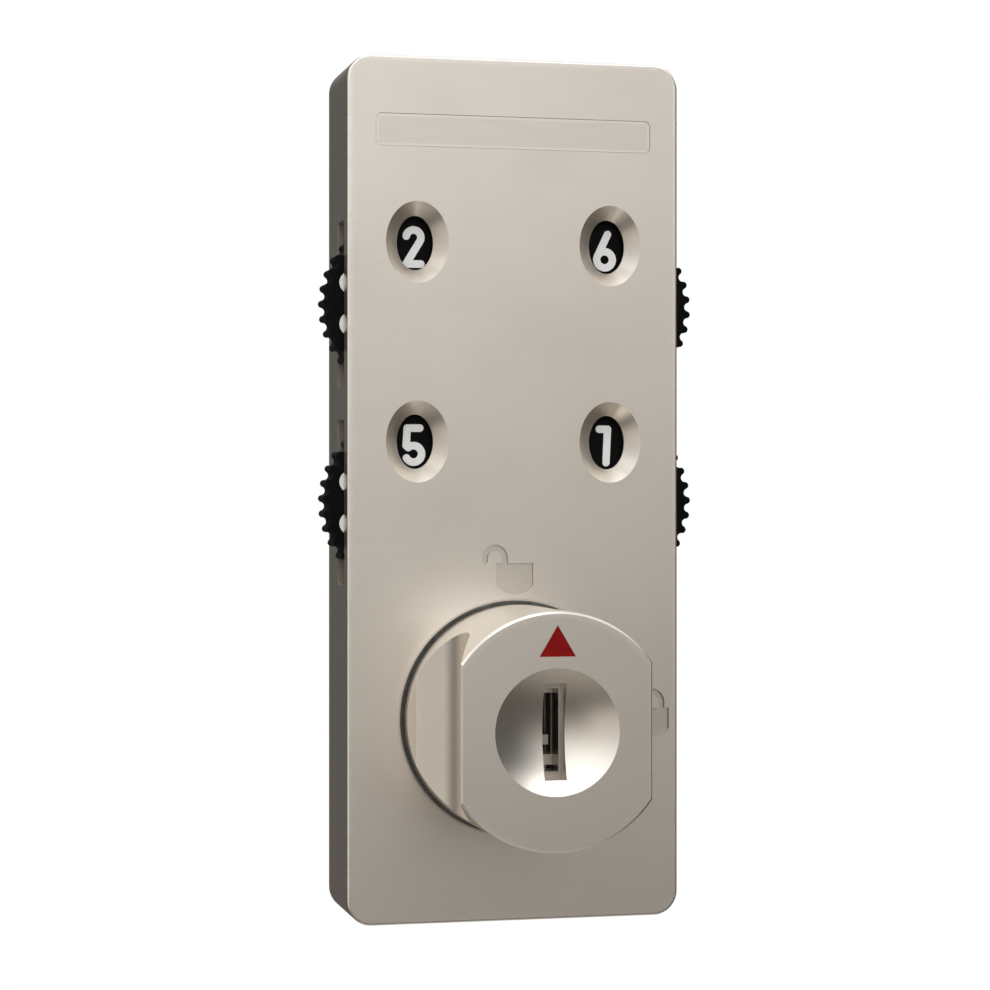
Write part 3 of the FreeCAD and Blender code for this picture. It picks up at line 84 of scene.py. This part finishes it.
class Finish:
    """The node tree of one finish, or of the room."""

    def __init__(self, tree):
        self.tree = tree

    def node(self, kind, settings=None, sockets=None, out=0):
        made = self.tree.nodes.new(kind)
        for name, setting in (settings or {}).items():
            setattr(made, name, setting)
        for key, given in (sockets or {}).items():
            socket = made.inputs[key]
            if isinstance(given, Signal):
                self.tree.links.new(given.socket, socket)
            elif isinstance(given, tuple) and len(socket.default_value) == 4:
                socket.default_value = (*given, 1.0)
            else:
                socket.default_value = given
        return Signal(self, made.outputs[out]) if made.outputs else None

    def smooth(self, signal, low, high):
        """0 below low, 1 above high, and smooth between."""
        return self.node(
            "ShaderNodeMapRange",
            {"interpolation_type": "SMOOTHSTEP"},
            {"Value": signal, "From Min": low, "From Max": high},
        )

    def larger(self, first, second):
        return first.maths("MAXIMUM", first, second)

    def smaller(self, first, second):
        return first.maths("MINIMUM", first, second)

    def blend(self, factor, colour, other):
        sockets = {0: factor, 6: colour, 7: other}
        return self.node("ShaderNodeMix", {"data_type": "RGBA"}, sockets, 2)

    def axes(self, vector):
        made = self.node("ShaderNodeSeparateXYZ", None, {0: vector})
        return [Signal(self, socket) for socket in made.socket.node.outputs]

    def vector(self, x, y, z):
        return self.node("ShaderNodeCombineXYZ", None, {0: x, 1: y, 2: z})

    def noise(self, at, size, detail=2.0, stretch=(1.0, 1.0, 1.0)):
        """Noise with features of about size millimetres, longer along an axis by its stretch."""
        scale = tuple(1.0 / (size * s) for s in stretch)
        placed = self.node("ShaderNodeMapping", None, {"Vector": at, "Scale": scale})
        sockets = {"Vector": placed, "Scale": 1.0, "Detail": detail}
        return self.node("ShaderNodeTexNoise", None, sockets)

    def distance(self, u, v):
        return (u * u + v * v) ** 0.5


class Surface(Finish):
    """A finish on the pieces. at is the place on the object in millimetres."""

    def __init__(self, name):
        self.material = bpy.data.materials.new(name)
        self.material.use_nodes = True
        super().__init__(self.material.node_tree)
        self.shader = self.tree.nodes["Principled BSDF"]
        place = self.node("ShaderNodeTexCoord", out=3)
        self.at = self.node(
            "ShaderNodeVectorMath", {"operation": "SCALE"}, {0: place, "Scale": 1.0 / MM}
        )
        self.x, self.y, self.z = self.axes(self.at)

    def set(self, **values):
        for name, given in values.items():
            socket = self.shader.inputs[name.replace("_", " ")]
            if isinstance(given, Signal):
                self.tree.links.new(given.socket, socket)
            elif isinstance(given, tuple):
                socket.default_value = (*given, 1.0)
            else:
                socket.default_value = given
        return self

    def bump(self, height, strength, depth):
        """Height from 0 to 1 stands depth millimetres proud."""
        sockets = {"Height": height, "Strength": strength, "Distance": depth * MM}
        return self.set(Normal=self.node("ShaderNodeBump", None, sockets))


# ---------------------------------------------------------------- finishes


def metres_to_mm(corners):
    return [tuple(axis / MM for axis in corner) for corner in corners]


CASE_LOW, CASE_HIGH = metres_to_mm(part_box("front_case"))
GRIP_LOW = metres_to_mm(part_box("knob_grip"))[0]
POSTS = [metres_to_mm(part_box(name)) for name in NODES if name.startswith("dial_post_")]


def middle(corners):
    return [(low + high) / 2 for low, high in zip(*corners)]


DIAL_ROWS = sorted({round(middle(box)[2], 2) for box in POSTS})
DIAL_ACROSS = max(middle(box)[0] for box in POSTS)
WHEEL_RADIUS = 12.7
# The windows' bevels: half width, half height and how far they stand over a dial's axis.
BEVEL_HALF_WIDTH = 4.45
BEVEL_HALF_HEIGHT = 5.68
BEVEL_RISE = 8.45
# The knob: middle of the gap round it, its chamfer and its foot.
GAP_RADIUS = 16.35
CHAMFER_RADII = (14.6, 15.3)
GRIP_SETBACK = 2.4
FOOT_RADII = (15.2, 15.75)
FOOT_FRONT = (20.5, 21.4)
FACE_FROM_GRIP = 24.0
# How deep the sunk padlocks' walls reach, and their floors.
MARK_WALL = (0.34, 0.395)
MARK_FLOOR = (0.5, 0.6)


def dial_radius(surface):
    """Distance from the nearest dial's axis."""
    across = abs(surface.x) - DIAL_ACROSS
    radii = [surface.distance(across, surface.z - height) for height in DIAL_ROWS]
    return surface.smaller(*radii)


NICKEL = (0.80, 0.745, 0.67)
NICKEL_SHADE = (0.70, 0.64, 0.56)
# The last two tones: brighter for rubbed wear and painted highlights, dark for painted shade.
NICKEL_WEAR_AND_HIGHLIGHT = (0.90, 0.86, 0.79)
NICKEL_PAINTED_SHADE = (0.26, 0.22, 0.18)


def nickel(surface, wear_and_highlight, painted_shade, streak, rough=0.33, patchy=0.7):
    """Satin nickel plate: a soft blasted grain, brighter where it is rubbed and where a highlight
    is painted, darker where shade is painted.
    """
    cloud = surface.noise(surface.at, 16.0, 3.0)
    grain = surface.noise(surface.at, 0.42, 2.0, (2.4, 1.0, 1.0))
    scuff = surface.noise(surface.at, 2.6, 4.0)
    tone = surface.blend(surface.smooth(cloud, 0.35, 0.75) * 0.35, NICKEL, NICKEL_SHADE)
    tone = surface.blend(surface.smooth(streak, 0.42, 0.75) * 0.10, tone, NICKEL_SHADE)
    # On the case this is rubbed wear at the edges; on the knob it is mostly a painted highlight.
    rubbed_and_highlit = wear_and_highlight * (1.0 - patchy + surface.smooth(scuff, 0.3, 0.6) * patchy) * 0.7
    tone = surface.blend(rubbed_and_highlit, tone, NICKEL_WEAR_AND_HIGHLIGHT)
    # Painted shade, darkening gaps and recesses.
    tone = surface.blend(painted_shade, tone, NICKEL_PAINTED_SHADE)
    roughness = rough + (cloud - 0.5) * 0.05 + (grain - 0.5) * 0.05 + (streak - 0.5) * 0.03
    roughness = roughness - wear_and_highlight * 0.07 + painted_shade * 0.2
    surface.set(Base_Color=tone, Roughness=roughness, Metallic=1.0)
    return surface.bump(grain * 0.85 + streak * 0.15, 0.12, 0.02)


def case_finish():
    surface = Surface("satin_nickel_case")
    half = (CASE_HIGH[0] - CASE_LOW[0]) / 2
    centre_z = (CASE_HIGH[2] + CASE_LOW[2]) / 2
    half_z = (CASE_HIGH[2] - CASE_LOW[2]) / 2
    side = half - abs(surface.x)
    end = half_z - abs(surface.z - centre_z)
    front = surface.y - CASE_LOW[1]
    rim = surface.smaller(surface.larger(side, front), surface.larger(end, front))
    corner = surface.larger(side, end)
    wear_and_highlight = 1.0 - surface.smooth(surface.smaller(rim, corner - 0.8), 0.2, 1.1)
    # The bevels round the four windows carry the cutter's marks, which run down the slope.
    across = (abs(surface.x) - DIAL_ACROSS) / BEVEL_HALF_WIDTH
    ups = [(surface.z - row - BEVEL_RISE) / BEVEL_HALF_HEIGHT for row in DIAL_ROWS]
    rise = surface.smaller(*[abs(up) for up in ups])
    nearest = surface.distance(across, rise)
    bevel = 1.0 - surface.smooth(nearest, 0.99, 1.02)
    turn = surface.node("ShaderNodeMath", {"operation": "ARCTAN2"}, {0: across, 1: rise})
    cuts = surface.noise(surface.vector(turn * 9.0, surface.z * 0.02, surface.x * 0.02), 1.0, 3.0)
    lines = surface.noise(surface.at, 0.55, 2.0, (14.0, 1.0, 1.0))
    streak = lines * (1.0 - bevel) + cuts * bevel
    # Painted shade: the gap round the knob is painted dark.
    ring = abs(surface.distance(surface.x, surface.z) - GAP_RADIUS)
    painted_shade = (1.0 - surface.smooth(ring, 0.05, 0.35)) * 0.35
    # Painted shade: the sunk padlocks are painted darker on their walls and in the corners of their
    # floors.
    inside = surface.smooth(surface.smaller(side, end), 0.4, 0.6) * (1.0 - bevel)
    sunk = surface.smooth(front, 0.03, 0.14) * (1.0 - surface.smooth(front, *MARK_FLOOR))
    wall = sunk * (1.0 - surface.smooth(front, *MARK_WALL))
    painted_shade = surface.larger(painted_shade, inside * (sunk * 0.20 + wall * 0.8))
    nickel(surface, wear_and_highlight, painted_shade, streak)
    return surface.material


def knob_finish():
    surface = Surface("satin_nickel_knob")
    radius = surface.distance(surface.x, surface.z)
    front = surface.y - GRIP_LOW[1]
    # Painted highlight: the front chamfer and the foot ring are painted brighter, with a little
    # patchy rub wear.
    chamfer = 1.0 - surface.smooth(front, 0.12, 0.5)
    edge = surface.larger(radius, abs(surface.x) + GRIP_SETBACK)
    chamfer = chamfer * surface.smooth(edge, *CHAMFER_RADII)
    foot = surface.smooth(radius, *FOOT_RADII) * surface.smooth(front, *FOOT_FRONT)
    wear_and_highlight = surface.larger(chamfer, foot)
    rings = surface.noise(surface.vector(radius * 2.6, front * 0.1, 0.0), 1.0, 2.0)
    # Painted shade where the knob's foot meets the case face.
    painted_shade = (1.0 - surface.smooth(abs(front - FACE_FROM_GRIP), 0.3, 1.2)) * 0.4
    nickel(surface, wear_and_highlight, painted_shade, rings, 0.32, 0.2)
    return surface.material


def worked_metal(
    name, colour, shade, rough, grain, cloud=5.0, contrast=0.5, depth=0.012, spots=None
):
    """Metal with a directional grain, blotches, and spots of another colour where it has aged."""
    surface = Surface(name)
    blotch = surface.noise(surface.at, cloud, 4.0)
    lines = surface.noise(surface.at, 0.28, 3.0, grain)
    pits = surface.noise(surface.at, 0.7, 5.0)
    tone = surface.blend(surface.smooth(blotch, 0.3, 0.7) * contrast, colour, shade)
    tone = surface.blend(surface.smooth(lines, 0.45, 0.8) * 0.4, tone, shade)
    if spots:
        tone = surface.blend(surface.smooth(pits, 0.56, 0.72) * 0.6, tone, spots)
    roughness = rough + (blotch - 0.5) * 0.16 + (lines - 0.5) * 0.14
    surface.set(Base_Color=tone, Roughness=roughness, Metallic=1.0)
    surface.bump(lines * 0.7 + pits * 0.3, 0.3, depth)
    return surface.material


def turned_metal(name, colour, shade, rough, radius_of, pitch=0.22):
    """Metal off a lathe, with the tool's fine rings."""
    surface = Surface(name)
    radius = radius_of(surface)
    blotch = surface.noise(surface.at, 4.0, 4.0)
    rings = surface.noise(surface.vector(radius / pitch, surface.y / pitch, 0.0), 1.0, 2.0)
    tone = surface.blend(surface.smooth(blotch, 0.3, 0.72) * 0.6, colour, shade)
    tone = surface.blend(surface.smooth(rings, 0.4, 0.8) * 0.45, tone, shade)
    roughness = rough + (blotch - 0.5) * 0.18 + (rings - 0.5) * 0.16
    surface.set(Base_Color=tone, Roughness=roughness, Metallic=1.0)
    surface.bump(rings, 0.35, 0.015)
    return surface.material


def axis_radius(surface):
    return surface.distance(surface.x, surface.z)


def wheel_finish():
    """Black moulded nylon, burnished grey at the tips of the teeth."""
    surface = Surface("black_polymer")
    radius = dial_radius(surface)
    skin = surface.noise(surface.at, 0.22, 3.0)
    cloud = surface.noise(surface.at, 3.0, 3.0)
    wear_and_highlight = surface.smooth(radius, WHEEL_RADIUS - 0.55, WHEEL_RADIUS + 0.1)
    tone = surface.blend(
        surface.smooth(cloud, 0.3, 0.7), (0.0024, 0.0024, 0.0026), (0.0040, 0.0040, 0.0039)
    )
    burnished = wear_and_highlight * surface.smooth(cloud, 0.35, 0.65) * 0.5
    tone = surface.blend(burnished, tone, (0.011, 0.0108, 0.0105))
    roughness = 0.50 + (skin - 0.5) * 0.2 + (cloud - 0.5) * 0.1 - wear_and_highlight * 0.08
    surface.set(Base_Color=tone, Roughness=roughness, Specular_IOR_Level=0.07)
    surface.bump(skin, 0.2, 0.02)
    return surface.material


def numeral_finish():
    """White filled numerals, a little dull in blotches."""
    surface = Surface("white_enamel")
    cloud = surface.noise(surface.at, 1.6, 3.0)
    skin = surface.noise(surface.at, 0.18, 2.0)
    tone = surface.blend(
        surface.smooth(cloud, 0.35, 0.75) * 0.6, (0.98, 0.98, 0.975), (0.93, 0.93, 0.92)
    )
    surface.set(Base_Color=tone, Roughness=0.42 + (skin - 0.5) * 0.2)
    surface.bump(skin * 0.4 + cloud * 0.6, 0.25, 0.03)
    return surface.material


def pointer_finish():
    """Red enamel flooded into the sunk pointer, blotchy in tone."""
    surface = Surface("red_enamel")
    cloud = surface.noise(surface.at, 1.1, 3.0)
    skin = surface.noise(surface.at, 0.2, 2.0)
    tone = surface.blend(
        surface.smooth(cloud, 0.3, 0.7) * 0.7, (0.30, 0.006, 0.005), (0.22, 0.004, 0.0035)
    )
    roughness = 0.48 + (skin - 0.5) * 0.15
    surface.set(Base_Color=tone, Roughness=roughness, Specular_IOR_Level=0.12)
    surface.bump(cloud * 0.7 + skin * 0.3, 0.3, 0.03)
    return surface.material


def plate_finish():
    """The blank name plate: brushed along its length."""
    surface = Surface("name_plate_metal")
    lines = surface.noise(surface.at, 0.3, 3.0, (26.0, 1.0, 1.0))
    cloud = surface.noise(surface.at, 9.0, 3.0)
    low, high = metres_to_mm(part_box("name_plate"))
    side = (high[0] - low[0]) / 2 - abs(surface.x)
    end = (high[2] - low[2]) / 2 - abs(surface.z - (high[2] + low[2]) / 2)
    wear_and_highlight = 1.0 - surface.smooth(surface.smaller(side, end), 0.1, 0.5)
    tone = surface.blend(
        surface.smooth(lines, 0.35, 0.75) * 0.3, (0.76, 0.71, 0.64), (0.66, 0.61, 0.54)
    )
    tone = surface.blend(wear_and_highlight * 0.6, tone, NICKEL_WEAR_AND_HIGHLIGHT)
    roughness = 0.34 + (lines - 0.5) * 0.08 + (cloud - 0.5) * 0.06
    surface.set(Base_Color=tone, Roughness=roughness, Metallic=1.0)
    surface.bump(lines, 0.10, 0.02)
    return surface.material


def bush_finish():
    """Natural acetal with a faint turned grain."""
    surface = Surface("bush_polymer")
    cloud = surface.noise(surface.at, 2.2, 4.0)
    turned = surface.vector(axis_radius(surface) * 5.0, surface.y * 5.0, 0.0)
    rings = surface.noise(turned, 1.0, 2.0)
    tone = surface.blend(
        surface.smooth(cloud, 0.3, 0.7) * 0.7, (0.72, 0.70, 0.63), (0.60, 0.57, 0.49)
    )
    tone = surface.blend(surface.smooth(rings, 0.5, 0.8) * 0.25, tone, (0.42, 0.40, 0.35))
    surface.set(Base_Color=tone, Roughness=0.45 + (rings - 0.5) * 0.2)
    surface.bump(rings, 0.3, 0.02)
    return surface.material


STEEL = (0.56, 0.57, 0.58)
STEEL_SHADE = (0.38, 0.385, 0.39)
BRASS = (0.78, 0.60, 0.30)
BRASS_SHADE = (0.55, 0.38, 0.17)
PLUG = (0.46, 0.43, 0.39)
PLUG_SHADE = (0.31, 0.285, 0.25)

FINISHES = {
    "front_case": case_finish(),
    "knob_grip": knob_finish(),
    "name_plate": plate_finish(),
    "pointer_fill": pointer_finish(),
    "spindle_bush": bush_finish(),
    "dial_wheel": wheel_finish(),
    "numerals": numeral_finish(),
    "code_ring": turned_metal("ring_brass", BRASS, BRASS_SHADE, 0.34, dial_radius),
    "dial_post": turned_metal("post_steel", STEEL, STEEL_SHADE, 0.30, dial_radius),
    "fence_pin": turned_metal("pin_steel", STEEL, STEEL_SHADE, 0.26, dial_radius, 0.12),
    "post_clip": worked_metal(
        "clip_steel", (0.30, 0.29, 0.28), (0.16, 0.15, 0.145), 0.38, (1.0, 1.0, 1.0), 1.6
    ),
    "clutch_spring": worked_metal(
        "coil_steel", (0.62, 0.62, 0.63), (0.42, 0.42, 0.43), 0.28, (1.0, 6.0, 1.0), 1.2
    ),
    "wafer_spring": worked_metal(
        "wafer_coil_steel", (0.66, 0.66, 0.66), (0.46, 0.46, 0.47), 0.28, (1.0, 1.0, 5.0), 0.6
    ),
    "dial_detent": worked_metal(
        "blue_spring_steel", (0.40, 0.40, 0.43), (0.25, 0.25, 0.29), 0.30, (1.0, 1.0, 9.0), 3.0
    ),
    "knob_detent": worked_metal(
        "leaf_steel", (0.42, 0.42, 0.45), (0.27, 0.27, 0.31), 0.30, (9.0, 1.0, 1.0), 3.0
    ),
    "lock_slide": worked_metal(
        "slide_steel", (0.60, 0.60, 0.585), (0.43, 0.425, 0.41), 0.36, (1.0, 1.0, 14.0), 7.0,
        spots=(0.30, 0.275, 0.24),
    ),
    "back_plate": worked_metal(
        "zinc_plate", (0.62, 0.63, 0.62), (0.45, 0.465, 0.47), 0.40, (1.0, 1.0, 3.0), 6.0, 0.7,
        spots=(0.36, 0.37, 0.38),
    ),
    "cam": worked_metal(
        "cam_steel", (0.60, 0.60, 0.58), (0.42, 0.42, 0.40), 0.36, (1.0, 1.0, 12.0), 5.0,
        spots=(0.31, 0.28, 0.24),
    ),
    "drive_spindle": turned_metal("spindle_steel", STEEL, STEEL_SHADE, 0.30, axis_radius),
    "drive_hub": worked_metal(
        "zinc_casting", (0.47, 0.475, 0.48), (0.33, 0.335, 0.34), 0.50, (1.0, 1.0, 1.0), 2.4, 0.8,
        0.05,
    ),
    "key_plug": turned_metal("plug_nickel", PLUG, PLUG_SHADE, 0.34, axis_radius),
    "wafer": worked_metal(
        "wafer_nickel_silver", (0.62, 0.585, 0.52), (0.44, 0.41, 0.355), 0.34, (1.0, 1.0, 8.0), 2.0,
        spots=(0.30, 0.27, 0.22),
    ),
    "case_screw": worked_metal(
        "screw_steel", (0.66, 0.66, 0.64), (0.46, 0.46, 0.45), 0.32, (1.0, 1.0, 1.0), 1.4, 0.6,
        spots=(0.36, 0.34, 0.31),
    ),
    "hub_screw": worked_metal(
        "hub_screw_steel", (0.36, 0.36, 0.37), (0.22, 0.22, 0.23), 0.34, (1.0, 1.0, 1.0), 1.4
    ),
    "cam_screw": turned_metal("cam_screw_steel", STEEL, STEEL_SHADE, 0.28, axis_radius),
    "cam_washer": turned_metal("washer_steel", (0.64, 0.65, 0.65), STEEL_SHADE, 0.32, axis_radius),
}

for name, piece in NODES.items():
    kind = max((key for key in FINISHES if name.startswith(key)), key=len)
    for slot in piece.material_slots:
        slot.material = FINISHES[kind]


# ---------------------------------------------------------------- room, light and camera

scene = bpy.context.scene
scene.view_settings.view_transform = "Standard"
FLOOR_DROP = 0.40
FLOOR_HALF = 40.0


def room():
    """Cards at the left and in front, a bright top and dark sides behind; white to look at."""
    world = bpy.data.worlds.new("studio")
    world.use_nodes = True
    scene.world = world
    air = Finish(world.node_tree)
    air.tree.nodes.clear()
    way = air.node("ShaderNodeTexCoord", out=0)
    x, y, z = air.axes(way)
    left = air.smooth(x * -0.85 + y * -0.5, 0.58, 0.82) * air.smooth(z, -0.55, -0.3) * 0.62
    front = air.smooth(x * -0.25 + y * -0.97, 0.35, 0.95) * air.smooth(z, -0.42, 0.40) * 1.04
    front = front * (1.17 - air.smooth(x - z * 0.35, 0.08, 0.42) * 0.42)
    top = air.smooth(z, 0.25, 0.75) * 0.88
    down = air.smooth(z * -1.0, 0.5, 0.95) * 0.35
    strength = air.larger(left, front) + top + down + 0.09
    warm = air.blend(air.smooth(z, -0.3, 0.3), (1.0, 0.935, 0.85), (0.985, 0.99, 1.0))
    lit = air.node("ShaderNodeBackground", None, {"Color": warm, "Strength": strength})
    plain = air.node("ShaderNodeBackground", None, {"Color": (1.0, 1.0, 1.0), "Strength": 1.0})
    seen = air.node("ShaderNodeLightPath")
    mixed = air.node("ShaderNodeMixShader", None, {0: seen, 1: lit, 2: plain})
    air.node("ShaderNodeOutputWorld", None, {0: mixed})


def lamp(name, place, target, size, power):
    light = bpy.data.lights.new(name, "AREA")
    light.shape = "RECTANGLE"
    light.size, light.size_y = size
    light.energy = power
    holder = bpy.data.objects.new(name, light)
    scene.collection.objects.link(holder)
    holder.location = place
    aim = Vector(target) - Vector(place)
    holder.rotation_euler = aim.to_track_quat("-Z", "Y").to_euler()


def floor():
    """A plain white floor well below the lock, which hangs as if on its door."""
    shape = bmesh.new()
    bmesh.ops.create_grid(shape, x_segments=2, y_segments=2, size=FLOOR_HALF)
    height = cad_box[0][2] - FLOOR_DROP
    bmesh.ops.translate(shape, verts=shape.verts, vec=(0.0, 0.0, height))
    mesh = bpy.data.meshes.new("floor")
    shape.to_mesh(mesh)
    shape.free()
    piece = bpy.data.objects.new("floor", mesh)
    scene.collection.objects.link(piece)
    paint = bpy.data.materials.new("floor_white")
    paint.use_nodes = True
    sheet = Finish(paint.node_tree)
    sheet.tree.nodes.clear()
    glow = sheet.node("ShaderNodeEmission", None, {"Color": (1.0, 1.0, 1.0), "Strength": 1.0})
    sheet.node("ShaderNodeOutputMaterial", None, {0: glow})
    mesh.materials.append(paint)
    piece.visible_diffuse = False
    piece.visible_glossy = False
    piece.visible_shadow = False


room()
floor()
lamp("key", (0.35, -0.45, 0.55), (0.0, 0.0, 0.03), (0.35, 0.35), 0.5)
lamp("top", (-0.10, -0.10, 0.75), (0.0, 0.0, 0.03), (0.5, 0.4), 0.5)
lamp("behind", (0.45, 0.55, 0.45), (0.0, 0.02, 0.03), (0.4, 0.4), 1.2)

view = bpy.data.cameras.new("camera")
view.lens = 94.5
view.sensor_width = 36.0
view.clip_start = 0.01
camera = bpy.data.objects.new("camera", view)
camera.location = (-0.0854, -0.3672, 0.0310)
camera.rotation_euler = (math.radians(90.0), 0.0, math.radians(-13.2))
scene.collection.objects.link(camera)
scene.camera = camera


def plain(bounds):
    return [[float(axis) for axis in corner] for corner in bounds]
